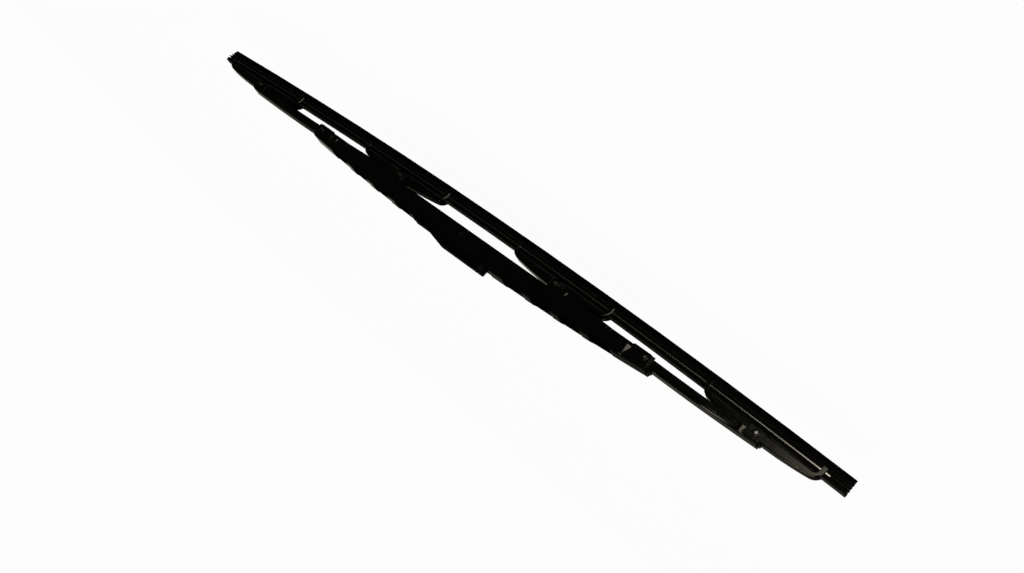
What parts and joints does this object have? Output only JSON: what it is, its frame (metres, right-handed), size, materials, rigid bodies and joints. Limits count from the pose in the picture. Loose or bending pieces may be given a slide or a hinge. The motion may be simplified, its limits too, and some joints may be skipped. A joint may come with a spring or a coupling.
{
  "type": "wiper blade",
  "caption": "Bracket-frame wiper blade: nested rocking steel yokes carry a rubber squeegee on claws, with a pivoting plastic adapter for the wiper arm.",
  "frame": {"origin": "middle of the cross pin in the main yoke, on which the arm's adapter turns", "axes": "+X along the blade, towards the nose of the adapter; +Y across the blade, along the pin; +Z away from the glass, so the wiping lip points to -Z"},
  "size_m": [0.6006, 0.0184, 0.0396],
  "materials": {
    "frame_paint": "semi-gloss black coating",
    "liner_plastic": "matt black moulding",
    "adapter_plastic": "glossy black moulding",
    "wiping_rubber": "matt black rubber",
    "strip_steel": "rolled stainless strip",
    "rivet_steel": "plain steel"
  },
  "bodies": {
    "main": {"main_yoke": "frame_paint", "cross_pin": "rivet_steel", "main_rivet_left": "rivet_steel", "main_rivet_right": "rivet_steel", "squeegee": "wiping_rubber", "backing_strip_front": "strip_steel", "backing_strip_rear": "strip_steel"},
    "adapter": {"arm_adapter": "adapter_plastic"},
    "secondary_left": {"secondary_yoke_left": "frame_paint", "main_liner_left": "liner_plastic", "claw_rivet_outer_left": "rivet_steel", "claw_rivet_inner_left": "rivet_steel"},
    "claw_outer_left": {"claw_yoke_outer_left": "frame_paint", "claw_liner_outer_left": "liner_plastic"},
    "claw_inner_left": {"claw_yoke_inner_left": "frame_paint", "claw_liner_inner_left": "liner_plastic"},
    "secondary_right": {"secondary_yoke_right": "frame_paint", "main_liner_right": "liner_plastic", "claw_rivet_outer_right": "rivet_steel", "claw_rivet_inner_right": "rivet_steel"},
    "claw_outer_right": {"claw_yoke_outer_right": "frame_paint", "claw_liner_outer_right": "liner_plastic"},
    "claw_inner_right": {"claw_yoke_inner_right": "frame_paint", "claw_liner_inner_right": "liner_plastic"}
  },
  "joints": [
    {"name": "adapter_tilt", "type": "hinge", "parent": "main", "child": "adapter", "pos_m": [0, 0, 0], "axis": [0, 1, 0], "range_deg": [-8, 15]},
    {"name": "blade_flex", "type": "hinge", "parent": "main", "child": "secondary_left", "pos_m": [-0.16135, 0, -0.00405], "axis": [0, -1, 0], "range_deg": [-0.7, 4.2], "stiffness_Nm_per_rad": 1, "deforming": ["squeegee", "backing_strip_front", "backing_strip_rear"]},
    {"name": "claw_outer_left_rock", "type": "hinge", "parent": "secondary_left", "child": "claw_outer_left", "pos_m": [-0.24443, 0, -0.00579], "axis": [0, -1, 0], "range_deg": [-0.37, 2.17]},
    {"name": "claw_inner_left_rock", "type": "hinge", "parent": "secondary_left", "child": "claw_inner_left", "pos_m": [-0.0785, 0, -0.0105], "axis": [0, -1, 0], "range_deg": [-2.17, 0.37]},
    {"name": "secondary_right_rock", "type": "hinge", "parent": "main", "child": "secondary_right", "pos_m": [0.16135, 0, -0.00405], "axis": [0, 1, 0], "range_deg": [-0.7, 4.2]},
    {"name": "claw_outer_right_rock", "type": "hinge", "parent": "secondary_right", "child": "claw_outer_right", "pos_m": [0.24443, 0, -0.00579], "axis": [0, 1, 0], "range_deg": [-0.37, 2.17]},
    {"name": "claw_inner_right_rock", "type": "hinge", "parent": "secondary_right", "child": "claw_inner_right", "pos_m": [0.0785, 0, -0.0105], "axis": [0, 1, 0], "range_deg": [-2.17, 0.37]}
  ],
  "couplings": [
    {"joint": "claw_outer_left_rock", "follows": "blade_flex", "ratio": 0.5139},
    {"joint": "claw_inner_left_rock", "follows": "blade_flex", "ratio": -0.5139},
    {"joint": "secondary_right_rock", "follows": "blade_flex", "ratio": 1},
    {"joint": "claw_outer_right_rock", "follows": "blade_flex", "ratio": 0.5139},
    {"joint": "claw_inner_right_rock", "follows": "blade_flex", "ratio": -0.5139}
  ]
}
